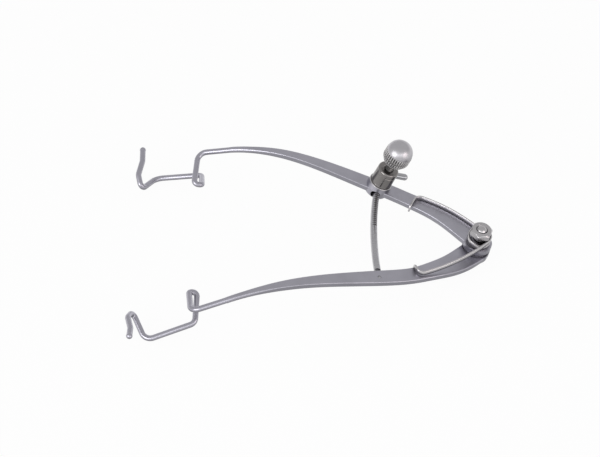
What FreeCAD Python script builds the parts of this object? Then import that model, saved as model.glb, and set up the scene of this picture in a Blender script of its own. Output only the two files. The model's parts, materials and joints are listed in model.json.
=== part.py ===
import FreeCAD, Part
import math
import os
import re

# Self-retaining retractor for the eyelids: two sprung arms that end in bent wire blades,
# hinged on a screw, and held open by a serrated bar that a thumb screw clamps.
# The pieces are modelled in the hinge's frame: Z is the hinge axis, zero is the plane
# between the two knuckles, and the arms run towards minus X. One common placement then
# tips the instrument as it rests on a table, on its two blades and the hinge screw.

SIZES = [
    ("wire_radius", 0.67, "radius of the blade wire"),
    ("wire_end_radius", 0.73, "radius of the rounded wire end"),
    ("arm_thickness", 1.38, "thickness of the flat arm"),
    ("arm_width", 3.8, "width of the arm between spring hook and lock"),
    ("root_width", 6.3, "width of the arm at the hinge"),
    ("flare_end", 17.0, "distance from the hinge where the flare ends"),
    ("taper_start", 19.0, "distance from the hinge where the taper to the wire starts"),
    ("arm_length", 58.5, "distance from the hinge where the arm has become wire"),
    ("edge_round", 0.22, "rounding of the arm's long edges"),
    ("splay_angle", 16.0, "angle between one straight arm and the middle plane"),
    ("bow_end", 21.0, "distance from the hinge where the bowed root ends"),
    ("bow_radius", 45.0, "radius of the bowed root in plan"),
    ("ease_start", 42.0, "distance from the hinge where the arm eases inwards"),
    ("ease_radius", 290.0, "radius of that easing"),
    ("crest_along", 41.0, "distance from the hinge of the arm's highest point"),
    ("crest_height", 2.16, "height of the arm's highest point"),
    ("crest_radius", 40.5, "radius of the arch on its way down to the wire"),
    ("arch_back_radius", 95.0, "radius of the arch towards the hinge"),
    ("rise_angle", 5.5, "slope of the arm up to the arch"),
    ("lower_joggle_start", 4.0, "distance from the hinge where the lower arm starts to step up"),
    ("lower_joggle_length", 8.5, "length over which it does"),
    ("upper_joggle_start", 6.0, "distance from the hinge where the upper arm starts to step down"),
    ("upper_joggle_length", 12.5, "length over which it does"),
    ("knuckle_radius", 3.35, "radius of the hinge knuckle"),
    ("knuckle_thickness", 1.4, "thickness of the hinge knuckle"),
    ("hinge_washer_thickness", 0.3, "washer between the knuckles"),
    ("hinge_washer_radius", 3.1, "radius of that washer"),
    ("running_gap", 0.05, "clearance between faces that turn on each other"),
    ("shank_radius", 1.15, "radius of the hinge screw"),
    ("head_radius", 2.9, "radius of the hinge screw's head"),
    ("head_thickness", 1.9, "thickness of the hinge screw's head"),
    ("head_chamfer", 0.3, "chamfer of that head"),
    ("slot_width", 0.6, "driver slot in the head"),
    ("slot_depth", 0.55, "depth of that slot"),
    ("sleeve_radius", 1.75, "radius of the spacer sleeve inside the spring"),
    ("sleeve_length", 2.65, "length of that sleeve"),
    ("nut_across_flats", 4.7, "width of the hexagon nut"),
    ("nut_thickness", 1.5, "thickness of the hexagon nut"),
    ("nut_chamfer", 0.35, "height of the nut's top chamfer"),
    ("screw_end_height", 0.42, "height of the domed screw end above the nut"),
    ("strip_height", 1.22, "height of the spring strip"),
    ("strip_thickness", 0.42, "thickness of the spring strip"),
    ("coil_radius", 2.6, "radius of the spring coil, at the strip's middle"),
    ("coil_gap", 0.04, "gap between the coil's two passes"),
    ("leg_heading", 40.0, "direction in which a leg leaves the coil"),
    ("leg_radius", 95.0, "radius of the spring leg's bow"),
    ("leg_length", 18.1, "length of the spring leg up to its bend"),
    ("leg_bend_radius", 1.5, "radius of the bend before the hook"),
    ("leg_bend_angle", 108.0, "angle of that bend"),
    ("hook_reach", 2.0, "straight stretch from the bend to the hook"),
    ("hook_length", 0.42, "length of the hook's tab along the strip"),
    ("hook_drop", 1.15, "depth of the hook's tab below the strip"),
    ("post_along", 23.45, "distance of the lock from the hinge"),
    ("post_out", 14.75, "distance of the lock from the middle plane"),
    ("pin_along", 23.9, "distance of the bar's pin from the hinge"),
    ("post_lean", 13.4, "lean of the lock towards the hinge"),
    ("bar_radius", 0.8, "radius of the serrated bar"),
    ("bar_bow_radius", 105.0, "radius to which the bar is bent"),
    ("bar_end_bend", 1.25, "radius of the bend at the bar's free end"),
    ("bar_end_turn", 84.0, "angle of that bend"),
    ("bar_end_length", 4.7, "straight stretch after that bend"),
    ("bar_stop_gap", 1.3, "gap between the bent end and the boss"),
    ("tooth_pitch", 0.65, "pitch of the serrations"),
    ("tooth_depth", 0.28, "depth of the serrations"),
    ("toothed_length", 15.5, "length of the serrated stretch"),
    ("eye_radius", 1.05, "radius of the bar's flat eye"),
    ("eye_thickness", 0.66, "thickness of the eye and its tongue"),
    ("tongue_length", 2.6, "length of the flattened tongue beside the eye"),
    ("fork_gap", 0.06, "clearance of the eye in its slot"),
    ("pin_radius", 0.42, "radius of the bar's pin"),
    ("pin_gap", 0.05, "running clearance on that pin"),
    ("pin_head_height", 0.2, "height of the pin's domed head"),
    ("boss_radius", 2.9, "radius of the boss on the upper arm"),
    ("boss_top_radius", 2.7, "radius of the boss where the post sits"),
    ("boss_below", 1.12, "depth of the boss below the bar"),
    ("boss_above", 1.85, "height of the boss above the bar"),
    ("bar_gap", 0.1, "clearance round the bar in the boss"),
    ("bar_swing", 5.3, "angle that the bar swings each way in the boss"),
    ("post_radius", 2.58, "radius of the lock post at its foot"),
    ("post_top_radius", 2.55, "radius of the lock post at its rim"),
    ("post_height", 4.8, "height of the lock post"),
    ("post_chamfer", 0.4, "chamfer of the rim"),
    ("spigot_radius", 1.7, "radius of the post's spigot in the boss"),
    ("spigot_depth", 0.5, "depth of that spigot"),
    ("stem_radius", 1.0, "radius of the clamp screw"),
    ("thread_gap", 0.05, "clearance of the clamp screw in the post"),
    ("shoe_radius", 0.95, "radius of the clamp shoe"),
    ("shoe_length", 1.3, "length of the clamp shoe"),
    ("clamp_travel", 0.75, "travel of the clamp shoe down to the bar"),
    ("knob_height", 7.9, "height of the knob's lower face above the boss"),
    ("knob_radius", 3.5, "radius of the knob"),
    ("knurl_height", 2.3, "height of the knurled band"),
    ("knurl_drop", 2.1, "knob's lower face below the middle of its ball"),
    ("knurl_depth", 0.15, "depth of the knurling"),
    ("knurl_count", 44, "number of grooves round the knob"),
    ("knurl_round", 0.45, "rounding of the band's edges"),
]
# Bends of one blade's wire, counted from the arm's end: how far beyond it, how far out
# from it, how high over it, and the radius of the bend.
WIRE_BENDS = [
    ("shoulder", 7.45, 1.30, -3.63, 2.2),
    ("loop_outer", 7.85, -6.80, -6.03, 0.92),
    ("loop_inner", 5.95, -6.80, -6.23, 0.92),
    ("heel", 5.80, -0.40, -9.33, 1.6),
    ("toe", 16.40, 1.85, -14.63, 2.2),
    ("lid_crest", 19.90, -4.45, -12.48, 1.05),
    ("crest_back", 21.00, -1.30, -10.83, 2.0),
    ("tip_bend", 20.30, 2.60, -9.88, 3.0),
    ("tip", 20.45, 5.60, -9.18, 0.0),
]
for bend, along, out, up, radius in WIRE_BENDS:
    SIZES += [(bend + "_along", along, bend + " of the wire: distance beyond the arm's end"),
              (bend + "_out", out, bend + ": distance outwards from the arm's end"),
              (bend + "_up", up, bend + ": height over the arm's end"),
              (bend + "_radius", radius, bend + ": radius of the bend")]

doc = FreeCAD.newDocument("eyelid_retractor")
sheet = doc.addObject("Spreadsheet::Sheet", "Sizes")
for row, (alias, value, note) in enumerate(SIZES, start=1):
    sheet.set("A%d" % row, note)
    sheet.set("B%d" % row, str(value))
    sheet.setAlias("B%d" % row, alias)
doc.recompute()
ALIASES = [alias for alias, value, note in SIZES]
V = FreeCAD.Vector
UP = V(0, 0, 1)


def size(alias):
    return float(sheet.get(alias))


def angle(alias):
    return math.radians(size(alias))


def bound(text):
    """An expression in which each size's name is read from the sheet."""
    return re.sub(r"[a-z_]+", lambda word: ("Sizes." if word.group() in ALIASES else "") + word.group(), text)


def primitive(kind, name, start="0", **sizes):
    """A Part primitive on the Z axis whose sizes and height are bound to the sheet."""
    solid = doc.addObject("Part::" + kind, name)
    for prop, expression in sizes.items():
        solid.setExpression(prop, bound(expression))
    solid.setExpression("Placement.Base.z", bound(start))
    return solid


def cut(name, base, *tools):
    result = doc.addObject("Part::Cut", name)
    result.Base = base
    result.Tool = tools[0] if len(tools) == 1 else fuse(name + "_tools", *tools)
    return result


def fuse(name, *solids):
    result = doc.addObject("Part::MultiFuse", name)
    result.Shapes = list(solids)
    return result


def common(name, first, second):
    result = doc.addObject("Part::Common", name)
    result.Base = first
    result.Tool = second
    return result


def feature(name, shape):
    result = doc.addObject("Part::Feature", name)
    result.Shape = shape
    return result


def smooth(fraction):
    fraction = min(max(fraction, 0.0), 1.0)
    return fraction * fraction * (3 - 2 * fraction)


# The arm's line: how far out and how high it is at a distance from the hinge.
SPLAY = angle("splay_angle")


def straight_out(along):
    return size("post_out") - 0.25 + (along - size("post_along")) * math.tan(SPLAY)


def plan_out(along):
    """Distance of the arm's middle from the middle plane."""
    if along < size("bow_end"):
        heading = math.asin(math.sin(SPLAY) + (size("bow_end") - along) / size("bow_radius"))
        drop = size("bow_radius") * (math.cos(SPLAY) - math.cos(heading))
        return straight_out(size("bow_end")) - drop
    if along > size("ease_start"):
        heading = math.asin(math.sin(SPLAY) - (along - size("ease_start")) / size("ease_radius"))
        gain = size("ease_radius") * (math.cos(heading) - math.cos(SPLAY))
        return straight_out(size("ease_start")) + gain
    return straight_out(along)


def rise(along):
    """Height of the arm's middle: level, then a slope, then an arch down to the wire."""
    back = size("arch_back_radius")
    slope = angle("rise_angle")
    arch_start = size("crest_along") - back * math.sin(slope)
    if along > arch_start:
        radius = size("crest_radius") if along > size("crest_along") else back
        turned = (along - size("crest_along")) / radius
        return size("crest_height") - radius * (1 - math.sqrt(1 - turned * turned))
    foot = size("crest_height") - back * (1 - math.cos(slope))
    line = foot - math.tan(slope) * (arch_start - along)
    softness = 0.1
    return (line + math.sqrt(line * line + softness * softness)) / 2


KNUCKLE_STEP = (size("knuckle_thickness") + size("hinge_washer_thickness")) / 2 + size("running_gap")


def middle(along, level):
    """Middle of an arm's section; level is 1 for the upper arm and -1 for the lower."""
    arm = "upper" if level > 0 else "lower"
    joggle = 1 - smooth((along - size(arm + "_joggle_start")) / size(arm + "_joggle_length"))
    return V(-along, plan_out(along), rise(along) + level * KNUCKLE_STEP * joggle)


def direction(along, level):
    step = 0.05
    return (middle(along + step, level) - middle(along - step, level)).normalize()


def rounded_section(centre, heading, width, thickness, corner):
    """A closed wire of four lines and four arcs, square to the heading."""
    side = heading.cross(UP).normalize()
    lift = side.cross(heading).normalize()
    turn = corner * (1 - math.sqrt(0.5))

    def point(across, upwards):
        return centre + side * across + lift * upwards

    half_w = width / 2
    half_t = thickness / 2
    edges = []
    for sign_w, sign_t in ((1, 1), (-1, 1), (-1, -1), (1, -1)):
        corner_w = (sign_w * half_w, sign_t * (half_t - corner))
        corner_t = (sign_w * (half_w - corner), sign_t * half_t)
        bulge = point(sign_w * (half_w - turn), sign_t * (half_t - turn))
        first, last = (corner_w, corner_t) if sign_w * sign_t > 0 else (corner_t, corner_w)
        edges.append((point(*first), bulge, point(*last)))
    loop = []
    for index, (first, bulge, last) in enumerate(edges):
        loop.append(Part.Arc(first, bulge, last).toShape())
        loop.append(Part.LineSegment(last, edges[(index + 1) % 4][0]).toShape())
    return Part.Wire(loop)


def arm_width(along):
    wide = size("arm_width")
    if along < size("flare_end"):
        return wide + (size("root_width") - wide) * smooth(1 - along / size("flare_end"))
    taper = smooth((along - size("taper_start")) / (size("arm_length") + 1.5 - size("taper_start")))
    return wide + (2 * size("wire_radius") + 0.04 - wide) * taper


def arm_stations():
    """Distances from the hinge at which the arm's sections stand."""
    shares = [0.005, 0.05, 0.1, 0.155, 0.205, 0.255, 0.31, 0.37, 0.445, 0.53, 0.615, 0.7, 0.785, 0.865, 0.94, 1.0]
    return [share * size("arm_length") for share in shares]


def arm_blank(level):
    """The arm as forged: a bar of changing width and thickness through its sections."""
    wire = 2 * size("wire_radius") + 0.04
    sections = []
    for station in arm_stations():
        blend = smooth((station / size("arm_length") - 0.75) / 0.25)
        thick = size("arm_thickness") + (wire - size("arm_thickness")) * blend
        corner = size("edge_round") + (wire / 2 - 0.02 - size("edge_round")) * blend
        sections.append(rounded_section(middle(station, level), direction(station, level),
                                        max(arm_width(station), wire), thick, corner))
    return Part.makeLoft(sections, True, False)


def bent_path(points, radii):
    """Straight runs joined by tangent arcs at the inner points."""
    edges = []
    last = points[0]
    for before, corner, after, radius in zip(points, points[1:], points[2:], radii):
        back = (before - corner).normalize()
        ahead = (after - corner).normalize()
        half = back.getAngle(ahead) / 2
        reach = radius / math.tan(half)
        start = corner + back * reach
        end = corner + ahead * reach
        inward = (back + ahead).normalize()
        crown = corner + inward * (radius / math.sin(half) - radius)
        edges.append(Part.LineSegment(last, start).toShape())
        edges.append(Part.Arc(start, crown, end).toShape())
        last = end
    edges.append(Part.LineSegment(last, points[-1]).toShape())
    return Part.Wire(edges)


def rod(path, radius):
    """A round rod along a path."""
    first = path.Edges[0]
    start = first.valueAt(first.FirstParameter)
    heading = first.tangentAt(first.FirstParameter)
    ring = Part.Wire(Part.Circle(start, heading, radius).toShape())
    return path.makePipeShell([ring], True, False)


def blade_path():
    ending = size("arm_length")
    heading = direction(ending, 0)
    end = middle(ending, 0)
    points = [end - heading * size("wire_radius") * 0.6]
    for bend, *rest in WIRE_BENDS:
        points.append(end + V(-size(bend + "_along"), size(bend + "_out"), size(bend + "_up")))
    return bent_path(points, [size(bend + "_radius") for bend, *rest in WIRE_BENDS[:-1]])


BLADE_PATH = blade_path()


def blade():
    tip = BLADE_PATH.Edges[-1]
    ball = Part.makeSphere(size("wire_end_radius"), tip.valueAt(tip.LastParameter))
    return rod(BLADE_PATH, size("wire_radius")).fuse(ball)


def knuckle(level):
    """Round end of the arm: a disc on the hinge and the rounded end of the bar beside it."""
    thick = size("knuckle_thickness")
    bottom = level * KNUCKLE_STEP - thick / 2
    disc = Part.makeCylinder(size("knuckle_radius"), thick, V(0, 0, bottom))
    end = middle(arm_stations()[0], level)
    cap_radius = arm_width(arm_stations()[0]) / 2 + 0.02
    cap = Part.makeCylinder(cap_radius, thick, V(end.x, end.y, bottom))
    return disc.fuse(cap)


def hinge_bore():
    radius = size("shank_radius") + size("running_gap")
    reach = 4 * size("knuckle_thickness")
    return Part.makeCylinder(radius, 2 * reach, V(0, 0, -reach))


def across(shape):
    """The same shape on the other side of the middle plane."""
    return shape.mirror(V(0, 0, 0), V(0, 1, 0))


# The bar's pin and the lock lie on one level, where the arms have met.
BAR_LEVEL = rise(size("post_along"))
PIN_AT = V(-size("pin_along"), -straight_out(size("pin_along")) - 0.25, BAR_LEVEL)
LOCK_AT = V(-size("post_along"), size("post_out"), BAR_LEVEL)
LEAN = FreeCAD.Placement(LOCK_AT, FreeCAD.Rotation(V(0, 1, 0), size("post_lean")))
BOW = size("bar_bow_radius")
HALF_CHORD = (LOCK_AT - PIN_AT) / 2
TOWARDS_CENTRE = HALF_CHORD.cross(UP).normalize()
BOW_CENTRE = PIN_AT + HALF_CHORD + TOWARDS_CENTRE * math.sqrt(BOW ** 2 - HALF_CHORD.Length ** 2)
AT_LOCK = math.atan2(LOCK_AT.y - BOW_CENTRE.y, BOW_CENTRE.x - LOCK_AT.x)


def bar_point(run):
    """Point of the bar's middle line at a run from the lock, positive outwards."""
    turned = AT_LOCK + run / BOW
    return BOW_CENTRE + V(-math.cos(turned), math.sin(turned), 0) * BOW


def bar_heading(run):
    turned = AT_LOCK + run / BOW
    return V(math.sin(turned), math.cos(turned), 0)


def lower_arm():
    """Arm, wire blade and knuckle, with the slot that takes the bar's flat eye."""
    body = arm_blank(-1).fuse([blade(), knuckle(-1)]).cut(hinge_bore())
    body = across(body)
    tall = size("eye_thickness") + 2 * size("fork_gap")
    reach = size("eye_radius") + 0.15
    floor = PIN_AT - V(0, 0, tall / 2)
    slot = Part.makeCylinder(reach, tall, floor)
    mouth = Part.makeBox(2 * reach, 2 * size("arm_width"), tall, floor - V(reach, 0, 0))
    spread = mouth.copy()
    spread.rotate(floor, UP, 14)
    deep = 2 * size("arm_thickness")
    pin_hole = Part.makeCylinder(size("pin_radius"), 2 * deep, PIN_AT - V(0, 0, deep))
    return body.cut([slot, mouth, spread, pin_hole]).removeSplitter()


def bar_hole():
    """Hole for the bar, cut at three angles because the bar swings in it."""
    radius = size("bar_radius") + size("bar_gap")
    reach = 2 * size("boss_radius")
    bores = []
    for way in (-1, 0, 1):
        heading = FreeCAD.Rotation(UP, (way - 1) * size("bar_swing") + 0.3).multVec(bar_heading(0))
        bores.append(Part.makeCylinder(radius, 2 * reach, LOCK_AT - heading * reach, heading))
    return bores


def upper_arm():
    """Arm, wire blade and knuckle, with the boss that carries the lock."""
    boss = Part.makeCylinder(size("boss_radius"), size("boss_below") + 0.5, V(0, 0, -size("boss_below")))
    skirt = Part.makeCone(size("boss_radius"), size("boss_top_radius"), size("boss_above") - 0.5, V(0, 0, 0.5))
    lump = boss.fuse(skirt)
    lump.Placement = LEAN
    well = Part.makeCylinder(size("shoe_radius") + 0.1, size("boss_above") + 1)
    seat = Part.makeCylinder(size("spigot_radius"), 2, V(0, 0, size("boss_above") - size("spigot_depth")))
    drilled = well.fuse(seat)
    drilled.Placement = LEAN
    body = arm_blank(1).fuse([blade(), knuckle(1), lump])
    return body.cut(bar_hole() + [drilled, hinge_bore()]).removeSplitter()


def strip_path():
    """Middle line of the spring strip's lower edge: leg, coil and leg."""
    radius = size("coil_radius")
    heading = angle("leg_heading")
    low = KNUCKLE_STEP + size("knuckle_thickness") / 2 + size("running_gap") + 0.02
    high = low + size("strip_height") + size("coil_gap")
    start = -math.pi / 2 + heading
    sweep = 2 * math.pi + (math.pi - 2 * heading)
    overlap = math.pi - 2 * heading
    points = []
    face = size("arm_thickness") / 2 + 0.07

    def leg(side, begin):
        bow = size("leg_radius")
        bend = size("leg_bend_radius")
        turn = angle("leg_bend_angle")
        run = size("leg_length")
        total = run + bend * turn + size("hook_reach")
        course = heading
        spot = V(radius * math.sin(heading), radius * math.cos(heading), 0)
        line = []
        steps = 48
        step = total / steps
        for index in range(steps):
            travelled = (index + 0.5) * step
            if travelled < run:
                course -= step / bow
            elif travelled < run + bend * turn:
                course -= step / bend
            spot = spot + V(-math.cos(course), math.sin(course), 0) * step
            sunk = begin + (rise(run) + face - begin) * min(1.0, travelled / run)
            on_arm = middle(max(0.0, -spot.x), side).z + face
            line.append(V(spot.x, side * spot.y, max(sunk, on_arm)))
        return line

    turns = 44
    coil = []
    for index in range(turns + 1):
        turned = sweep * index / turns
        at = start + turned
        drop = smooth((turned - overlap) / (sweep - 2 * overlap))
        coil.append(V(radius * math.cos(at), radius * math.sin(at), high + (low - high) * drop))
    near = leg(-1, high)[2::3]
    far = leg(1, low)[2::3]
    points = near[::-1] + coil + far
    curve = Part.BSplineCurve()
    curve.interpolate(points)
    return curve


def torsion_spring():
    """Flat strip stood on edge, wound round the hinge, with a tab on each leg's end."""
    curve = strip_path()
    spine = Part.Wire(curve.toShape())
    first = curve.FirstParameter
    last = curve.LastParameter
    start = curve.value(first)
    heading = V(*curve.tangent(first)[0])
    heading.z = 0
    side = heading.normalize().cross(UP) * (size("strip_thickness") / 2)
    tall = UP * size("strip_height")
    corners = [start + side, start - side, start - side + tall, start + side + tall, start + side]
    sweep = Part.BRepOffsetAPI.MakePipeShell(spine)
    sweep.setBiNormalMode(UP)
    sweep.add(Part.makePolygon(corners))
    sweep.build()
    sweep.makeSolid()
    solids = [sweep.shape()]
    for parameter, way in ((first, 1), (last, -1)):
        spot = curve.value(parameter)
        back = V(*curve.tangent(parameter)[0]) * way
        back.z = 0
        back.normalize()
        wide = back.cross(UP) * (size("strip_thickness") / 2)
        drop = UP * -size("hook_drop")
        rim = UP * (size("strip_height") / 2)
        foot = spot + back * 0.1
        tab = [foot + wide + rim, foot - wide + rim, foot - wide + drop, foot + wide + drop, foot + wide + rim]
        solids.append(Part.Face(Part.makePolygon(tab)).extrude(back * -(size("hook_length") + 0.1)))
    return solids


def serrated_bar():
    """Round rod bent to a bow, with a flat eye at one end and a bent stop at the other."""
    outer = size("boss_radius") + size("bar_stop_gap") + size("bar_radius") - size("bar_end_bend")
    inner = -2 * BOW * math.asin(HALF_CHORD.Length / BOW)
    begin = bar_point(inner + 0.6)
    corner = bar_point(outer)
    heading = bar_heading(outer)
    radius = size("bar_end_bend")
    middle_of_bend = corner + V(heading.y, -heading.x, 0) * radius
    half_turn = FreeCAD.Rotation(UP, -size("bar_end_turn") / 2)
    crown = middle_of_bend + half_turn.multVec(corner - middle_of_bend)
    bend_end = middle_of_bend + half_turn.multVec(crown - middle_of_bend)
    side = half_turn.multVec(half_turn.multVec(heading))
    path = Part.Wire([Part.Arc(begin, bar_point((inner + outer) / 2), corner).toShape(),
                      Part.Arc(corner, crown, bend_end).toShape(),
                      Part.LineSegment(bend_end, bend_end + side * size("bar_end_length")).toShape()])
    body = rod(path, size("bar_radius"))
    thin = size("eye_thickness") / 2
    for way in (1, -1):
        slab = Part.makeBox(6, size("tongue_length") + 3, 2, PIN_AT + V(-3, -3, thin if way > 0 else -thin - 2))
        body = body.cut(slab)
    eye = Part.makeCylinder(size("eye_radius"), 2 * thin, PIN_AT - V(0, 0, thin))
    body = body.fuse([eye, Part.makeSphere(size("bar_radius") + 0.004, bend_end + side * size("bar_end_length"))])
    hole = Part.makeCylinder(size("pin_radius") + size("pin_gap"), 4, PIN_AT - V(0, 0, 2))
    return body.cut([hole] + teeth()).removeSplitter()


def teeth():
    """Notches across the side of the bar that faces the clamp shoe."""
    facing = FreeCAD.Rotation(V(0, 1, 0), size("post_lean")).multVec(UP)
    half = size("tooth_pitch") * 0.36
    notches = []
    for index in range(int(size("toothed_length") / size("tooth_pitch"))):
        run = 1.0 - index * size("tooth_pitch")
        along = bar_heading(run)
        wide = along.cross(facing).normalize() * (size("bar_radius") + 0.5)
        root = bar_point(run) + facing * (size("bar_radius") - size("tooth_depth"))
        rim = facing * (size("tooth_depth") + 0.2)
        spread = along * (half * (size("tooth_depth") + 0.2) / size("tooth_depth"))
        outline = Part.makePolygon([root - wide, root - wide + rim + spread, root - wide + rim - spread, root - wide])
        notches.append(Part.Face(outline).extrude(wide * 2))
    return notches


def hinge_screw():
    """Slotted head below, shank through both knuckles, domed end above the nut."""
    seat = "-(knuckle_thickness + hinge_washer_thickness / 2 + running_gap)"
    top = "knuckle_thickness + hinge_washer_thickness / 2 + 2 * running_gap + sleeve_length + nut_thickness"
    disc = primitive("Cylinder", "screw_head_disc", seat + " - head_thickness",
                     Radius="head_radius", Height="head_thickness")
    shape = primitive("Cone", "screw_head_chamfer", seat + " - head_thickness",
                      Radius1="head_radius - head_chamfer",
                      Radius2="head_radius - head_chamfer + head_thickness",
                      Height="head_thickness")
    shank = primitive("Cylinder", "screw_shank", seat + " - head_thickness / 2",
                      Radius="shank_radius", Height="head_thickness / 2 - (" + seat + ") + " + top)
    ball = "(shank_radius * shank_radius + screw_end_height * screw_end_height) / (2 * screw_end_height)"
    dome = primitive("Sphere", "screw_dome", top + " + screw_end_height - " + ball, Radius=ball)
    reach = primitive("Cylinder", "screw_dome_reach", top, Radius="shank_radius", Height="2 * screw_end_height")
    slot = doc.addObject("Part::Box", "screw_slot")
    slot.setExpression("Length", bound("2 * head_radius"))
    slot.setExpression("Width", bound("slot_width"))
    slot.setExpression("Height", bound("slot_depth"))
    slot.setExpression("Placement.Base.x", bound("-head_radius"))
    slot.setExpression("Placement.Base.y", bound("-slot_width / 2"))
    slot.setExpression("Placement.Base.z", bound(seat + " - head_thickness"))
    head = common("screw_head", disc, shape)
    whole = fuse("screw_blank", head, shank, common("screw_end", dome, reach))
    return cut("hinge_screw", whole, slot)


def hinge_nut():
    """Hexagon nut with its corners turned down on top."""
    seat = "knuckle_thickness + hinge_washer_thickness / 2 + 2 * running_gap + sleeve_length"
    prism = doc.addObject("Part::Prism", "nut_prism")
    prism.Polygon = 6
    prism.setExpression("Circumradius", bound("nut_across_flats / sqrt(3)"))
    prism.setExpression("Height", bound("nut_thickness"))
    prism.setExpression("Placement.Base.z", bound(seat))
    turned = primitive("Cone", "nut_turning", seat,
                       Radius1="nut_across_flats / 2 + (nut_thickness - nut_chamfer + 0.3) * 1.7",
                       Radius2="nut_across_flats / 2 - 0.1", Height="nut_thickness")
    bore = primitive("Cylinder", "nut_bore", seat + " - 1", Radius="shank_radius", Height="nut_thickness + 2")
    return cut("hinge_nut", common("nut_blank", prism, turned), bore)


def ring(name, start, outer, inner, height):
    solid = primitive("Cylinder", name + "_disc", start, Radius=outer, Height=height)
    bore = primitive("Cylinder", name + "_bore", start + " - 1", Radius=inner, Height=height + " + 2")
    return cut(name, solid, bore)


def lock_post():
    """Turned post with a spigot below, a chamfered rim and a bore for the clamp screw."""
    foot = primitive("Cone", "post_wall", "boss_above", Radius1="post_radius",
                     Radius2="post_top_radius", Height="post_height")
    trim = primitive("Cone", "post_rim", "boss_above", Radius1="post_top_radius - post_chamfer + post_height",
                     Radius2="post_top_radius - post_chamfer", Height="post_height")
    spigot = primitive("Cylinder", "post_spigot", "boss_above - spigot_depth",
                       Radius="spigot_radius", Height="spigot_depth + 0.5")
    bore = primitive("Cylinder", "post_bore", "boss_above - spigot_depth - 1",
                     Radius="stem_radius + thread_gap", Height="post_height + 4")
    mouth = primitive("Cone", "post_mouth", "boss_above + post_height - 0.7",
                      Radius1="stem_radius + thread_gap", Radius2="stem_radius + thread_gap + 0.7", Height="0.7")
    return cut("lock_post", fuse("post_blank", common("post_body", foot, trim), spigot), bore, mouth)


def clamp_shoe():
    """Loose pad under the clamp screw that bites into the bar's serrations."""
    barrel = primitive("Cylinder", "shoe_barrel", "bar_radius + clamp_travel", Radius="shoe_radius", Height="shoe_length")
    trim = primitive("Cone", "shoe_trim", "bar_radius + clamp_travel", Radius1="shoe_radius - 0.15",
                     Radius2="shoe_radius - 0.15 + shoe_length", Height="shoe_length")
    return common("clamp_shoe", barrel, trim)


def clamp_screw():
    start = "bar_radius + clamp_travel + shoe_length + running_gap"
    stem = primitive("Cylinder", "stem", start, Radius="stem_radius",
                     Height="boss_above + knob_height + 1.6 - (" + start + ")")
    point = primitive("Cone", "stem_point", start, Radius1="stem_radius - 0.2",
                      Radius2="stem_radius - 0.2 + boss_above + knob_height + 1.6 - (" + start + ")",
                      Height="boss_above + knob_height + 1.6 - (" + start + ")")
    return common("clamp_screw", stem, point)


def thumb_knob():
    """Ball-topped knob with a knurled band, bored for the clamp screw."""
    low = "boss_above + knob_height"
    ball = primitive("Sphere", "knob_ball", low + " + knurl_drop", Radius="knob_radius")
    band = primitive("Cylinder", "knob_band", low, Radius="knob_radius", Height="knurl_height")
    keep = primitive("Cylinder", "knob_keep", low + " + knurl_drop", Radius="knob_radius + 1", Height="knob_radius + 1")
    dome = common("knob_dome", ball, keep)
    lower = primitive("Cone", "knob_lower_edge", low, Radius1="knob_radius - knurl_round",
                      Radius2="knob_radius - knurl_round + knurl_height", Height="knurl_height")
    upper = primitive("Cone", "knob_upper_edge", low, Radius1="knob_radius - 0.25 + knurl_height",
                      Radius2="knob_radius - 0.25", Height="knurl_height")
    rim = common("knob_rim", common("knob_rim_lower", band, lower), upper)
    socket = primitive("Cylinder", "knob_socket", low + " - 1", Radius="stem_radius", Height="2.6")
    grooves = feature("knurl_grooves", knurl_cutter())
    grooves.setExpression("Placement.Base.z", bound(low))
    return cut("thumb_knob", fuse("knob_blank", dome, rim), socket, grooves)


def knurl_cutter():
    count = int(size("knurl_count"))
    radius = size("knob_radius")
    root = radius - size("knurl_depth")
    half = math.pi / count * 0.7
    wedges = []
    for index in range(count):
        at = 2 * math.pi * index / count
        corners = [V(root * math.cos(at), root * math.sin(at), 0)]
        for way in (-1, 1):
            corners.append(V(math.cos(at + way * half), math.sin(at + way * half), 0) * (radius + 0.1))
        wedges.append(Part.Face(Part.makePolygon(corners + corners[:1])).extrude(V(0, 0, size("knurl_height"))))
    return Part.makeCompound(wedges)


def bar_pin():
    """Rivet through the lower arm and the bar's eye, with a domed head on top."""
    tilt = math.atan((rise(size("pin_along") + 1) - rise(size("pin_along") - 1)) / 2)
    half = size("arm_thickness") / 2 / math.cos(tilt)
    shank = Part.makeCylinder(size("pin_radius"), 2 * half - 0.12, PIN_AT - V(0, 0, half - 0.06))
    ball = (size("pin_radius") ** 2 + size("pin_head_height") ** 2) / (2 * size("pin_head_height"))
    top = PIN_AT + V(0, 0, half - 0.06)
    dome = Part.makeSphere(ball, top + V(0, 0, size("pin_head_height") - ball))
    keep = Part.makeCylinder(size("pin_radius"), 1, top)
    return shank.fuse(dome.common(keep)).removeSplitter()


spring_solids = torsion_spring()
spring = spring_solids[0].fuse(spring_solids[1:]).removeSplitter()
nodes = {
    "lower_arm": feature("lower_arm", lower_arm()),
    "upper_arm": feature("upper_arm", upper_arm()),
    "hinge_screw": hinge_screw(),
    "hinge_nut": hinge_nut(),
    "hinge_washer": ring("hinge_washer", "-hinge_washer_thickness / 2", "hinge_washer_radius",
                         "shank_radius + running_gap", "hinge_washer_thickness"),
    "spring_sleeve": ring("spring_sleeve", "knuckle_thickness + hinge_washer_thickness / 2 + 2 * running_gap",
                          "sleeve_radius", "shank_radius + running_gap", "sleeve_length"),
    "torsion_spring": feature("torsion_spring", spring),
    "serrated_bar": feature("serrated_bar", serrated_bar()),
    "bar_pin": feature("bar_pin", bar_pin()),
    "lock_post": lock_post(),
    "clamp_shoe": clamp_shoe(),
    "clamp_screw": clamp_screw(),
    "thumb_knob": thumb_knob(),
}
LEANING = ["lock_post", "clamp_shoe", "clamp_screw", "thumb_knob"]
doc.recompute()


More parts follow.
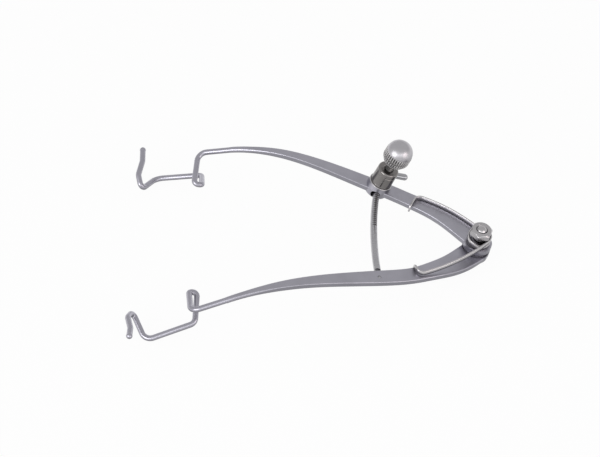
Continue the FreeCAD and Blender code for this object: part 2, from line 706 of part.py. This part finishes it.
def resting_tilt():
    """Tilt at which the blades' wire and the hinge screw's head touch one plane."""
    wire = [edge.valueAt(edge.FirstParameter + (edge.LastParameter - edge.FirstParameter) * part / 12)
            for edge in BLADE_PATH.Edges for part in range(13)]
    head = -(KNUCKLE_STEP + size("knuckle_thickness") / 2 + size("head_thickness"))
    edge = size("head_radius") - size("head_chamfer")
    low, high = 0.0, math.radians(30)
    for _ in range(40):
        tilt = (low + high) / 2
        blade_low = min(-p.x * math.sin(tilt) + p.z * math.cos(tilt) for p in wire) - size("wire_radius")
        head_low = -edge * math.sin(tilt) + head * math.cos(tilt)
        if blade_low < head_low:
            low = tilt
        else:
            high = tilt
    return tilt


TILT = resting_tilt()
turn = FreeCAD.Placement(V(0, 0, 0), FreeCAD.Rotation(V(0, 1, 0), math.degrees(TILT)))
for name, node in nodes.items():
    node.Label = name
    node.Placement = turn.multiply(LEAN) if name in LEANING else turn
doc.recompute()
box = FreeCAD.BoundBox()
for node in nodes.values():
    box.add(node.Shape.optimalBoundingBox(False, False))
shift = FreeCAD.Placement(V(-box.Center.x, -box.Center.y, -box.ZMin), FreeCAD.Rotation())
for name, node in nodes.items():
    node.Placement = shift.multiply(node.Placement)
doc.recompute()

for item in doc.Objects:
    if "Invalid" in item.State or "Error" in item.State:
        raise SystemExit("failed: " + item.Name + " " + str(item.State))
os.makedirs("parts", exist_ok=True)
for name, node in nodes.items():
    shape = node.Shape
    if shape.isNull() or not shape.isValid() or not shape.Solids:
        raise SystemExit("bad shape: " + name)
    print(name, "solids", len(shape.Solids), "faces", len(shape.Faces), "volume", round(shape.Volume, 3))
    shape.exportStep("parts/" + name + ".step")

frame = shift.multiply(turn)
print("tilt", round(math.degrees(TILT), 3), "size", box)
for label, spot in (("hinge", V(0, 0, 0)), ("pin", PIN_AT), ("lock", LOCK_AT)):
    print(label, frame.multVec(spot))
print("hinge axis", frame.Rotation.multVec(UP), "lock axis", frame.multiply(LEAN).Rotation.multVec(UP))
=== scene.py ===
import json
import math

import bmesh
import bpy
from mathutils import Matrix, Vector
from mathutils.bvhtree import BVHTree


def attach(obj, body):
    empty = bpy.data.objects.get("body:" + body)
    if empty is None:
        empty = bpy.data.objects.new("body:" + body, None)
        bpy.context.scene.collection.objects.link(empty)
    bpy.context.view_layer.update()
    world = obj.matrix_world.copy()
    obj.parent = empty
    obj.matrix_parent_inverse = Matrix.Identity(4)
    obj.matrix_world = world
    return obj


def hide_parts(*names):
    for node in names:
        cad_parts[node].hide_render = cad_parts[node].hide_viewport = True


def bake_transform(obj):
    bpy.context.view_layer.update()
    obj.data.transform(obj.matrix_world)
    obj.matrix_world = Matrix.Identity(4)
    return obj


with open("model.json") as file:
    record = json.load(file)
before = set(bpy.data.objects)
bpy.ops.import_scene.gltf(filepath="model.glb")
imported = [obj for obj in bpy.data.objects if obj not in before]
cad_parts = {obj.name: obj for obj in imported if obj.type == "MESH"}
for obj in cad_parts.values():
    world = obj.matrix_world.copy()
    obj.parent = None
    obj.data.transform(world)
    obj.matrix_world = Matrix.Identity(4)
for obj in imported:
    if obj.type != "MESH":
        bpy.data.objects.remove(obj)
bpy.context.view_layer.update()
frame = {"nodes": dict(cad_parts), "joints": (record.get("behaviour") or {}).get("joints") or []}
joints = {joint["name"]: joint for joint in frame["joints"]}


# The hinge
# All of the instrument is laid out round its hinge. Its pieces are turned in a frame of
# millimetres whose Z is the hinge's axis, and whose zero lies between the two knuckles.
MM = 0.001
hinge_spot = Vector(joints["arm_hinge"]["pos_m"])
hinge_axis = Vector(joints["arm_hinge"]["axis"]).normalized()
hinge_tilt = math.atan2(hinge_axis.x, hinge_axis.z)
hinge_frame = Matrix.Translation(hinge_spot) @ Matrix.Rotation(hinge_tilt, 4, "Y") @ Matrix.Scale(MM, 4)
to_hinge = hinge_frame.inverted()


# The two arms
# Each is forged with its knuckle and drawn out to the wire of its blade, in surgical
# stainless steel that is blasted with fine beads and brushed, so that it doesn't glare.
smudge_scale, smudge_tone, smudge_low, smudge_high = 240.0, 0.9, 0.32, 0.68
# Normal heights over which steel() paints shade onto sides and undersides.
side_facing, top_facing = -0.1, 0.6
marks_low, marks_high, roughness_swing = 0.3, 0.7, 0.05
pit_depth, mark_depth = 0.00002, 0.00001


def steel(name, tone, roughness, grain, relief, scratch, flow, turn, painted_shade_share):
    """Stainless steel: faint smudges, fine grain and tool marks drawn out along a flow.

    The marks lie in a frame turned about Y, and the flow says how many times longer they
    are along each of its axes. Sides and undersides get painted shade: their colour is
    darkened by the height of their normal, down to the share given last.
    """
    material = bpy.data.materials.new(name)
    material.use_nodes = True
    nodes = material.node_tree.nodes
    links = material.node_tree.links
    shader = nodes["Principled BSDF"]
    shader.inputs["Metallic"].default_value = 1.0
    place = nodes.new("ShaderNodeTexCoord")
    along = nodes.new("ShaderNodeMapping")
    along.vector_type = "TEXTURE"
    along.inputs["Rotation"].default_value = (0, turn, 0)
    along.inputs["Scale"].default_value = flow
    links.new(place.outputs["Object"], along.inputs["Vector"])

    def noise(scale, detail, source):
        cloud = nodes.new("ShaderNodeTexNoise")
        cloud.inputs["Scale"].default_value = scale
        cloud.inputs["Detail"].default_value = detail
        links.new(source, cloud.inputs["Vector"])
        return cloud.outputs["Fac"]

    def graded(value, start, end, low, high):
        grade = nodes.new("ShaderNodeMapRange")
        grade.inputs["From Min"].default_value = start
        grade.inputs["From Max"].default_value = end
        grade.inputs["To Min"].default_value = low
        grade.inputs["To Max"].default_value = high
        links.new(value, grade.inputs["Value"])
        return grade.outputs["Result"]

    smudges = noise(smudge_scale, 4.0, place.outputs["Object"])
    beads = noise(grain, 2.0, place.outputs["Object"])
    lines = noise(grain, 2.0, along.outputs["Vector"])
    colour = nodes.new("ShaderNodeValToRGB")
    smudged, clean = colour.color_ramp.elements
    smudged.position = smudge_low
    smudged.color = (*[part * smudge_tone for part in tone], 1)
    clean.position = smudge_high
    clean.color = (*tone, 1)
    links.new(smudges, colour.inputs["Fac"])
    # Painted shade: the colour is scaled down on faces turned sideways or down.
    facing = nodes.new("ShaderNodeSeparateXYZ")
    links.new(place.outputs["Normal"], facing.inputs["Vector"])
    shade = nodes.new("ShaderNodeVectorMath")
    shade.operation = "SCALE"
    links.new(colour.outputs["Color"], shade.inputs["Vector"])
    links.new(graded(facing.outputs["Z"], side_facing, top_facing, painted_shade_share, 1.0), shade.inputs["Scale"])
    links.new(shade.outputs["Vector"], shader.inputs["Base Color"])
    links.new(graded(lines, marks_low, marks_high, roughness - roughness_swing, roughness + roughness_swing),
              shader.inputs["Roughness"])
    pits = nodes.new("ShaderNodeBump")
    pits.inputs["Strength"].default_value = relief
    pits.inputs["Distance"].default_value = pit_depth
    links.new(beads, pits.inputs["Height"])
    marks = nodes.new("ShaderNodeBump")
    marks.inputs["Strength"].default_value = scratch
    marks.inputs["Distance"].default_value = mark_depth
    links.new(lines, marks.inputs["Height"])
    links.new(pits.outputs["Normal"], marks.inputs["Normal"])
    links.new(marks.outputs["Normal"], shader.inputs["Normal"])
    return material


def dress(node, material):
    """A solid that is right as it stands takes its finish."""
    piece = frame["nodes"][node]
    piece.data.materials.clear()
    piece.data.materials.append(material)


satin = steel("blasted_steel", tone=(0.53, 0.52, 0.585), roughness=0.34, grain=9000.0, relief=0.15,
              scratch=0.2, flow=(8, 1, 1), turn=hinge_tilt, painted_shade_share=0.42)
dress("lower_arm", satin)
dress("upper_arm", satin)


# The serrated bar and its rivet
# A round rod with file-cut notches on the side under the clamp screw, a flat eye that
# turns on a rivet in the lower arm, and its free end bent aside as a stop.
def copied(node):
    """A solid's own surface, its facets joined, ready for a fitter's stone."""
    form = bmesh.new()
    form.from_mesh(frame["nodes"][node].data)
    bmesh.ops.remove_doubles(form, verts=form.verts, dist=2e-6)
    bmesh.ops.dissolve_limit(form, angle_limit=math.radians(1.0), verts=form.verts, edges=form.edges)
    return form


def eased(form, reach, folded=25.0):
    """Every edge sharper than the angle is broken to a narrow round that catches light."""
    sharp = [edge for edge in form.edges if len(edge.link_faces) == 2
             and edge.calc_face_angle() > math.radians(folded)]
    bmesh.ops.bevel(form, geom=sharp, offset=reach * MM, offset_type="OFFSET", segments=2, profile=0.5,
                    affect="EDGES", clamp_overlap=True, material=-1)
    bmesh.ops.triangulate(form, faces=[face for face in form.faces if len(face.verts) > 4])
    return form


def finished(form, name, finishes, slot_name, body, *nodes, smooth=35.0):
    """A bmesh becomes a piece of the instrument, smooth but for its corners."""
    mesh = bpy.data.meshes.new(name)
    form.to_mesh(mesh)
    form.free()
    mesh.polygons.foreach_set("use_smooth", [True] * len(mesh.polygons))
    mesh.set_sharp_from_angle(angle=math.radians(smooth))
    for finish in finishes:
        mesh.materials.append(finish)
    piece = bpy.data.objects.new(name, mesh)
    bpy.context.scene.collection.objects.link(piece)
    if body:
        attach(piece, body)
    if nodes:
        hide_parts(*nodes)
    return piece


rod_steel = steel("drawn_rod", tone=(0.55, 0.545, 0.57), roughness=0.24, grain=8000.0, relief=0.1,
                  scratch=0.15, flow=(1, 6, 1), turn=hinge_tilt, painted_shade_share=0.45)
# Painted shade: the notches' flanks take this near-black colour for the shade in the notches.
notch_shade_steel = steel("notch_painted_shade", tone=(0.085, 0.082, 0.085), roughness=0.5, grain=8000.0, relief=0.1,
                    scratch=0.15, flow=(6, 1, 1), turn=hinge_tilt, painted_shade_share=0.5)
rod_ease = 0.03
flank_slope, notch_side, notches_start, notches_end = 0.35, 0.15, -0.1, 0.8
rod = copied("serrated_bar")
rod.normal_update()
rod_start = min(vert.co.y for vert in rod.verts)
rod_end = max(vert.co.y for vert in rod.verts)
rod_reach = 0.5 * (rod_end - rod_start)
rod_middle = rod_start + rod_reach
# Flanks of the notches get the painted-shade colour.
for face in rod.faces:
    spot = (face.calc_center_median().y - rod_middle) / rod_reach
    is_flank = abs(face.normal.y) > flank_slope and face.normal.z > notch_side
    if notches_start < spot < notches_end and is_flank:
        face.material_index = 1
finished(eased(rod, rod_ease), "notched_bar", [rod_steel, notch_shade_steel], "satin_steel", "bar", "serrated_bar")
dress("bar_pin", rod_steel)


# The hinge screw, its nut and the parts between
# A slotted screw comes up through both knuckles, a thin washer and a spacer sleeve, and
# its domed end is riveted over a hexagon nut whose bore is countersunk.
def turned(corners, steps, closed=False):
    """A profile of (radius, height) corners in millimetres, turned about Z."""
    form = bmesh.new()
    line = [form.verts.new((radius, 0, height)) for radius, height in corners]
    for start, end in zip(line, line[1:] + line[:1] if closed else line[1:]):
        form.edges.new((start, end))
    bmesh.ops.spin(form, geom=form.verts[:] + form.edges[:], cent=(0, 0, 0), axis=(0, 0, 1),
                   angle=math.tau, steps=steps, use_merge=True)
    bmesh.ops.remove_doubles(form, verts=form.verts, dist=1e-4)
    bmesh.ops.recalc_face_normals(form, faces=form.faces)
    return form


turned_steel = steel("turned_steel", tone=(0.62, 0.605, 0.62), roughness=0.24, grain=6500.0, relief=0.05,
                     scratch=0.06, flow=(6, 6, 1), turn=hinge_tilt, painted_shade_share=0.55)
fitting_ease, dome_growth = 0.06, 1.7
for node, name in (("hinge_washer", "thin_washer"), ("spring_sleeve", "spacer_sleeve")):
    finished(eased(copied(node), fitting_ease), name, [turned_steel], "bright_steel", "lower", node)
nut_levels = [(to_hinge @ vert.co).z for vert in frame["nodes"]["hinge_nut"].data.vertices]
nut_low, nut_top = min(nut_levels), max(nut_levels)
screw = copied("hinge_screw")
for vert in screw.verts:
    above = (to_hinge @ vert.co).z - nut_top
    if above > 0:
        vert.co += hinge_axis * above * (dome_growth - 1) * MM
finished(eased(screw, fitting_ease), "riveted_screw", [turned_steel], "bright_steel", "lower", "hinge_screw")

# A nut is turned first: its foot chamfer, a rounded cone over the corners, the flat top
# and the sunk bore. Its six flats are milled afterwards.
half_flats, bore, nut_sink, nut_turn = 2.35, 1.15, 0.3, math.radians(10.0)
foot_inset, foot_rise, rim_across, rim_drop = 0.12, 0.08, 0.04, 0.03
cone_drop, cone_foot, cone_steps = 0.45, 2.2, 6
nut_steps, half_corner = 96, math.pi / 6
corner_reach = half_flats / math.cos(half_corner)
cone = [(corner_reach + (cone_foot - corner_reach) * part / cone_steps,
         nut_top - cone_drop * (1 - part / cone_steps)) for part in range(cone_steps)]
nut = turned([(bore, nut_low), (corner_reach - foot_inset, nut_low), (corner_reach, nut_low + foot_rise),
              *cone, (cone_foot + rim_across, nut_top - rim_drop), (cone_foot - rim_across, nut_top),
              (bore + nut_sink, nut_top), (bore, nut_top - nut_sink)], nut_steps, closed=True)
for vert in nut.verts:
    around = math.atan2(vert.co.y, vert.co.x) % (2 * half_corner) - half_corner
    reach = vert.co.to_2d().length
    vert.co.xy *= min(reach, half_flats / math.cos(around)) / reach
bmesh.ops.rotate(nut, verts=nut.verts, cent=(0, 0, 0), matrix=Matrix.Rotation(nut_turn, 3, "Z"))
bmesh.ops.transform(nut, matrix=hinge_frame, verts=nut.verts)
finished(nut, "hexagon_nut", [turned_steel], "bright_steel", "lower", "hinge_nut", smooth=24.0)


# The torsion spring
# One polished strip stood on edge: a leg, a coil round the sleeve and the other leg, with
# a tab bent down over each arm's inner edge.
strip_steel = steel("spring_strip", tone=(0.7, 0.68, 0.695), roughness=0.22, grain=7000.0, relief=0.04,
                    scratch=0.12, flow=(5, 5, 1), turn=hinge_tilt, painted_shade_share=0.5)
strip_height, strip_half, strip_ease = 1.22, 0.21, 0.09
coil_middle, coil_low, coil_rise, coil_steps = 2.6, 1.62, 1.26, 90
leg_heading, leg_bow, leg_low, leg_steps = math.radians(45.0), 48.0, 1.0, 110
tab_bend, tab_width, tab_drop = 1.5, 0.5, 1.0
corner_drop, corner_run = 0.75, 1.3
arm_gap, over_all = 0.07, 9


def strip_leg(side, begin, run, turn, reach):
    """Middle line of a leg from the coil outwards, with the levels of its two edges.

    It runs in a slow bow, turns in over the arm and ends in the tab. Where the arm is
    under it, it stays just clear of the arm's face.
    """
    arm = copied("lower_arm" if side < 0 else "upper_arm")
    bmesh.ops.transform(arm, matrix=to_hinge, verts=arm.verts)
    bmesh.ops.triangulate(arm, faces=arm.faces)
    surface = BVHTree.FromBMesh(arm)
    arm.free()
    course = leg_heading
    spot = Vector((coil_middle * math.sin(course), coil_middle * math.cos(course), 0))
    tab_start = run + tab_bend * turn
    total = tab_start + reach
    step = total / leg_steps
    low = begin
    line = []
    for index in range(leg_steps):
        travelled = (index + 0.5) * step
        if travelled < run:
            course -= step / leg_bow
        elif travelled < tab_start:
            course -= step / tab_bend
        spot += Vector((-math.cos(course), math.sin(course), 0)) * step
        spot.z = over_all
        below = surface.ray_cast(spot * Vector((1, side, 1)), Vector((0, 0, -1)))[0]
        if below is not None:
            low = max(begin + (leg_low - begin) * min(1, travelled / run), below.z + arm_gap)
        to_end = total - travelled
        high = low + strip_height - corner_drop * max(0, 1 - to_end / corner_run) ** 2
        line.append((spot.x, side * spot.y, low - (tab_drop if to_end < tab_width else 0), high))
    return line


overlap = math.pi - 2 * leg_heading
sweep = math.tau + overlap
coil = []
for index in range(coil_steps + 1):
    turning = sweep * index / coil_steps
    at = leg_heading - math.pi / 2 + turning
    share = min(1, max(0, (turning - overlap) / (sweep - 2 * overlap)))
    low = coil_low + coil_rise * (1 - share * share * (3 - 2 * share))
    coil.append((coil_middle * math.cos(at), coil_middle * math.sin(at), low, low + strip_height))
near_leg = strip_leg(-1, begin=coil_low + coil_rise, run=18.3, turn=math.radians(96), reach=1.3)
far_leg = strip_leg(1, begin=coil_low, run=17.9, turn=math.radians(88), reach=2.7)
line = near_leg[::-1] + coil + far_leg
strip = bmesh.new()
end = None
for index, (x, y, low, high) in enumerate(line):
    before, after = line[max(index - 1, 0)], line[min(index + 1, len(line) - 1)]
    ahead = Vector((after[0] - before[0], after[1] - before[1], 0)).normalized()
    out = ahead.cross(Vector((0, 0, 1)))
    corners = [Vector((x, y, 0)) + out * way * reach + Vector((0, 0, level)) for way, reach, level in
               ((1, strip_half - strip_ease, low), (1, strip_half, low + strip_ease),
                (1, strip_half, high - strip_ease), (1, strip_half - strip_ease, high),
                (-1, strip_half - strip_ease, high), (-1, strip_half, high - strip_ease),
                (-1, strip_half, low + strip_ease), (-1, strip_half - strip_ease, low))]
    if end is None:
        end = strip.faces.new([strip.verts.new(corner) for corner in corners])
    else:
        grown = bmesh.ops.extrude_face_region(strip, geom=[end])["geom"]
        end = next(part for part in grown if isinstance(part, bmesh.types.BMFace))
        for vert in end.verts:
            nearest = min(range(len(last)), key=lambda number: (vert.co - last[number]).length)
            vert.co = corners[nearest]
    last = corners
bmesh.ops.recalc_face_normals(strip, faces=strip.faces)
bmesh.ops.transform(strip, matrix=hinge_frame, verts=strip.verts)
wound_strip = finished(strip, "wound_strip", [strip_steel], "spring_steel", None, "torsion_spring",
                       smooth=60.0)
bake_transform(wound_strip)


# The lock post
# A turned post of free-cutting steel, marked with fine rings, brazed into the boss and bored
# for the clamp screw, with the loose shoe under its bore. Its colour is made dark: painted
# shade for the knob's shade on it, and a painted dark reflection.
lock_spot = Vector(joints["clamp_turn"]["pos_m"])
lock_axis = Vector(joints["clamp_turn"]["axis"]).normalized()
lock_tilt = math.atan2(lock_axis.x, lock_axis.z)
lock_frame = Matrix.Translation(lock_spot) @ Matrix.Rotation(lock_tilt, 4, "Y") @ Matrix.Scale(MM, 4)
# Painted shade and painted dark reflection: the post's tone is made dark.
post_shade_steel = steel("ringed_post_painted_shade", tone=(0.3, 0.285, 0.28), roughness=0.22, grain=5200.0, relief=0.1,
                   scratch=0.45, flow=(30, 30, 1), turn=lock_tilt, painted_shade_share=0.5)
post_foot, post_top, post_steps = 1.85, 6.65, 96
post = turned([(1.05, 1.35), (1.7, 1.35), (1.7, post_foot), (2.5, post_foot), (2.58, post_foot + 0.08),
               (2.58, 2.3), (2.55, 2.35), (2.58, 2.4), (2.56, 5.2), (2.52, 5.25), (2.56, 5.3),
               (2.55, post_top - 0.42), (2.46, post_top - 0.2), (2.3, post_top - 0.06), (2.1, post_top),
               (1.3, post_top), (1.05, post_top - 0.2)], post_steps, closed=True)
bmesh.ops.transform(post, matrix=lock_frame, verts=post.verts)
finished(post, "turned_post", [post_shade_steel], "bright_steel", "upper", "lock_post", smooth=30.0)
dress("clamp_shoe", turned_steel)
seam_radius, seam_reach, seam_segments, seam_steps = 0.17, 2.68, 10, 72
seam = bmesh.new()
seam_place = Matrix.Translation((seam_reach, 0, post_foot)) @ Matrix.Rotation(math.pi / 2, 4, "X")
bmesh.ops.create_circle(seam, segments=seam_segments, radius=seam_radius, matrix=seam_place)
bmesh.ops.spin(seam, geom=seam.verts[:] + seam.edges[:], cent=(0, 0, 0), axis=(0, 0, 1), angle=math.tau,
               steps=seam_steps, use_merge=True)
bmesh.ops.recalc_face_normals(seam, faces=seam.faces)
bmesh.ops.transform(seam, matrix=lock_frame, verts=seam.verts)
finished(seam, "brazed_seam", [turned_steel], "bright_steel", "upper", smooth=80.0)


# The clamp screw
# A steel stem, threaded over its whole length, that presses the shoe on the bar. It shows
# between the post's mouth and the knob, which is fixed on its upper end.
# Painted shade: the stem is coloured near-black for the shade under the knob.
stem_shade_steel = steel("stem_painted_shade", tone=(0.15, 0.145, 0.145), roughness=0.3, grain=5200.0, relief=0.1,
                   scratch=0.2, flow=(1, 1, 1), turn=lock_tilt, painted_shade_share=0.5)
stem_start, stem_end, stem_steps = 2.9, 11.35, 32
stem_tip, tip_rise = 0.72, 0.12
stem_crest, stem_root, stem_pitch = 0.98, 0.8, 0.5
thread_start, thread_bite, turns, turn_steps = 0.15, 0.02, 15, 28
stem = turned([(0, stem_start), (stem_tip, stem_start), (stem_root, stem_start + tip_rise),
               (stem_root, stem_end), (0, stem_end)], stem_steps)
ridge = [stem.verts.new((radius, 0, stem_start + thread_start + height)) for radius, height in
         ((stem_root - thread_bite, 0), (stem_crest, stem_pitch / 2), (stem_root - thread_bite, stem_pitch))]
cap = stem.faces.new(ridge)
bmesh.ops.spin(stem, geom=[cap] + list(cap.edges) + ridge, cent=(0, 0, 0), axis=(0, 0, 1),
               angle=math.tau * turns, dvec=(0, 0, stem_pitch / turn_steps), steps=turn_steps * turns)
bmesh.ops.recalc_face_normals(stem, faces=stem.faces)
bmesh.ops.transform(stem, matrix=lock_frame, verts=stem.verts)
finished(stem, "threaded_stem", [stem_shade_steel], "bright_steel", "clamp", "clamp_screw", smooth=50.0)


# The thumb knob
# Turned from bar with a polished ball on top and, below it, two rows of straight knurling
# with a groove between, where finger and thumb grip it.
ball_steel = steel("polished_ball", tone=(0.62, 0.605, 0.635), roughness=0.37, grain=6000.0, relief=0.08,
                   scratch=0.1, flow=(6, 6, 1), turn=lock_tilt, painted_shade_share=0.6)
knurled_steel = steel("knurled_band", tone=(0.64, 0.625, 0.63), roughness=0.34, grain=6000.0, relief=0.2,
                      scratch=0.1, flow=(1, 1, 1), turn=lock_tilt, painted_shade_share=0.7)
# Painted shade: the knurl's furrows and the groove between its rows take this darker colour.
furrow_shade_steel = steel("knurl_furrow_painted_shade", tone=(0.3, 0.292, 0.295), roughness=0.5, grain=6000.0, relief=0.2,
                     scratch=0.1, flow=(1, 1, 1), turn=lock_tilt, painted_shade_share=0.7)
ball_radius, ball_middle, ball_steps = 3.2, 12.17, 22
band_radius, knob_foot, band_foot, knurl_top = 3.25, 9.1, 9.5, 12.5
groove_low, groove_high, groove_depth, groove_edge = 10.95, 11.2, 0.25, 0.05
rim_step, seat_step, row_margin, row_reach = 0.08, 0.05, 0.01, 2.7
knurl_count, knurl_steps, knurl_depth, crest_share, furrow_share = 35, 8, 0.27, 0.4, 0.35
knob = bmesh.new()
rim_height = knurl_top + rim_step - ball_middle
ball_rim = math.sqrt(ball_radius ** 2 - rim_height ** 2)
profile = [knob.verts.new((radius, 0, height)) for radius, height in
           ((0.9, knob_foot), (2.4, knob_foot), (2.6, knob_foot + 0.1), (2.72, band_foot), (2.95, 9.8),
            (3.15, 10.1), (band_radius, 10.4), (band_radius, groove_low - groove_edge),
            (band_radius - groove_depth, groove_low), (band_radius - groove_depth, groove_high),
            (band_radius, groove_high + groove_edge), (band_radius, 11.8),
            (band_radius, knurl_top - rim_step), (band_radius - rim_step, knurl_top),
            (ball_rim, knurl_top + rim_step))]
for pair in zip(profile, profile[1:]):
    knob.edges.new(pair)
rim_angle = math.atan2(rim_height, ball_rim)
bmesh.ops.spin(knob, geom=[profile[-1]], cent=(0, 0, ball_middle), axis=(0, -1, 0),
               angle=math.pi / 2 - rim_angle, steps=ball_steps)
bmesh.ops.spin(knob, geom=knob.verts[:] + knob.edges[:], cent=(0, 0, 0), axis=(0, 0, 1),
               angle=math.tau, steps=knurl_count * knurl_steps, use_merge=True)
bmesh.ops.remove_doubles(knob, verts=knob.verts, dist=1e-4)
bmesh.ops.recalc_face_normals(knob, faces=knob.faces)
pitch = math.tau / knurl_count
rows = ((band_foot, groove_low - groove_edge), (groove_high + groove_edge, knurl_top - rim_step))
sunk = {}
for vert in knob.verts:
    reach = vert.co.to_2d().length
    in_row = any(start - row_margin < vert.co.z < end + row_margin for start, end in rows)
    if in_row and reach > row_reach:
        across = abs((math.atan2(vert.co.y, vert.co.x) / pitch) % 1.0 - 0.5) * 2
        sunk[vert] = max(across * (1 + crest_share) - crest_share, 0)
        vert.co.xy *= 1 - knurl_depth * sunk[vert] / reach
# Faces deep in the furrows and in the groove get the painted-shade colour.
for face in knob.faces:
    depth = sum(sunk.get(vert, 0) for vert in face.verts) / len(face.verts)
    level = face.calc_center_median().z
    if depth > furrow_share or groove_low < level < groove_high:
        face.material_index = 2
    else:
        face.material_index = 1 if level < knurl_top + seat_step else 0
bmesh.ops.transform(knob, matrix=lock_frame, verts=knob.verts)
finished(knob, "ball_knob", [ball_steel, knurled_steel, furrow_shade_steel], "bright_steel", "clamp",
         "thumb_knob", smooth=40.0)


# The table and the light
# A white table in a light tent: pale walls all round, and a lit panel at each side of the
# camera, low down, which the ball and the turned pieces mirror.
def seen_white(tree, shader, white_share):
    """Mixes plain white into a shader for what the camera, the metal and glass see."""
    path = tree.nodes.new("ShaderNodeLightPath")
    seen = path.outputs["Is Camera Ray"]
    for ray in ("Is Glossy Ray", "Is Transmission Ray"):
        either = tree.nodes.new("ShaderNodeMath")
        either.operation = "MAXIMUM"
        tree.links.new(seen, either.inputs[0])
        tree.links.new(path.outputs[ray], either.inputs[1])
        seen = either.outputs["Value"]
    share = tree.nodes.new("ShaderNodeMath")
    share.operation = "MULTIPLY"
    share.inputs[1].default_value = white_share
    tree.links.new(seen, share.inputs[0])
    glow = tree.nodes.new("ShaderNodeEmission")
    glow.inputs["Strength"].default_value = 1.0
    mix = tree.nodes.new("ShaderNodeMixShader")
    tree.links.new(share.outputs["Value"], mix.inputs["Fac"])
    tree.links.new(shader, mix.inputs[1])
    tree.links.new(glow.outputs["Emission"], mix.inputs[2])
    return mix.outputs["Shader"]


bpy.ops.mesh.primitive_plane_add(size=6.0, location=(0, 0, 0))
table_top = bpy.context.object
table_top.name = "table_top"
white = bpy.data.materials.new("white_table")
white.use_nodes = True
tree = white.node_tree
paint = tree.nodes["Principled BSDF"]
paint.inputs["Base Color"].default_value = (0.9, 0.9, 0.9, 1)
paint.inputs["Roughness"].default_value = 0.9
tree.links.new(seen_white(tree, paint.outputs["BSDF"], white_share=0.95),
               tree.nodes["Material Output"].inputs["Surface"])
table_top.data.materials.append(white)


def soft_box(name, place, across, power, colour=(1, 1, 1)):
    """A lit panel that faces the instrument, its sizes in metres and its power in watts."""
    light = bpy.data.lights.new(name, "AREA")
    light.shape = "RECTANGLE"
    light.size, light.size_y = across
    light.energy = power
    light.color = colour
    lamp = bpy.data.objects.new(name, light)
    lamp.location = place
    lamp.rotation_euler = (-Vector(place)).to_track_quat("-Z", "Y").to_euler()
    bpy.context.scene.collection.objects.link(lamp)


soft_box("front_wall", place=(0.0, -0.55, 0.29), across=(1.0, 0.26), power=0.8)
soft_box("left_panel", place=(-0.45, -0.40, 0.28), across=(0.4, 0.36), power=1.3)
soft_box("right_panel", place=(0.52, -0.38, 0.18), across=(0.34, 0.3), power=0.6, colour=(1.0, 0.9, 0.88))
tent_strength = 0.56
world = bpy.data.worlds.new("light_tent")
world.use_nodes = True
tent = world.node_tree
walls = tent.nodes["Background"]
walls.inputs["Color"].default_value = (1, 1, 1, 1)
walls.inputs["Strength"].default_value = tent_strength
backdrop = tent.nodes.new("ShaderNodeBackground")
backdrop.inputs["Color"].default_value = (1, 1, 1, 1)
backdrop.inputs["Strength"].default_value = 1.0
path = tent.nodes.new("ShaderNodeLightPath")
choice = tent.nodes.new("ShaderNodeMixShader")
tent.links.new(path.outputs["Is Camera Ray"], choice.inputs["Fac"])
tent.links.new(walls.outputs["Background"], choice.inputs[1])
tent.links.new(backdrop.outputs["Background"], choice.inputs[2])
tent.links.new(choice.outputs["Shader"], tent.nodes["World Output"].inputs["Surface"])
bpy.context.scene.world = world
bpy.context.scene.view_settings.view_transform = "Standard"


# The camera
# It looks down on the instrument from the front, 49 cm away, as in the photograph, and
# leans a little to one side, because the instrument lies tilted on its blades.
camera_data = bpy.data.cameras.new("camera")
camera_data.lens = 126.0
camera_data.sensor_width = 36.0
camera_data.clip_start = 0.01
camera_data.clip_end = 20.0
camera = bpy.data.objects.new("camera", camera_data)
bpy.context.scene.collection.objects.link(camera)
look_down, camera_lean = math.radians(46.7), math.radians(9.6)
from_hinge = Vector((-41.41, -334.95, 361.41)) * MM
roll = Matrix.Rotation(hinge_tilt - camera_lean, 4, "Y")
camera.matrix_world = (Matrix.Translation(hinge_spot) @ roll @ Matrix.Translation(from_hinge)
                       @ Matrix.Rotation(math.pi / 2 - look_down, 4, "X"))
bpy.context.scene.camera = camera
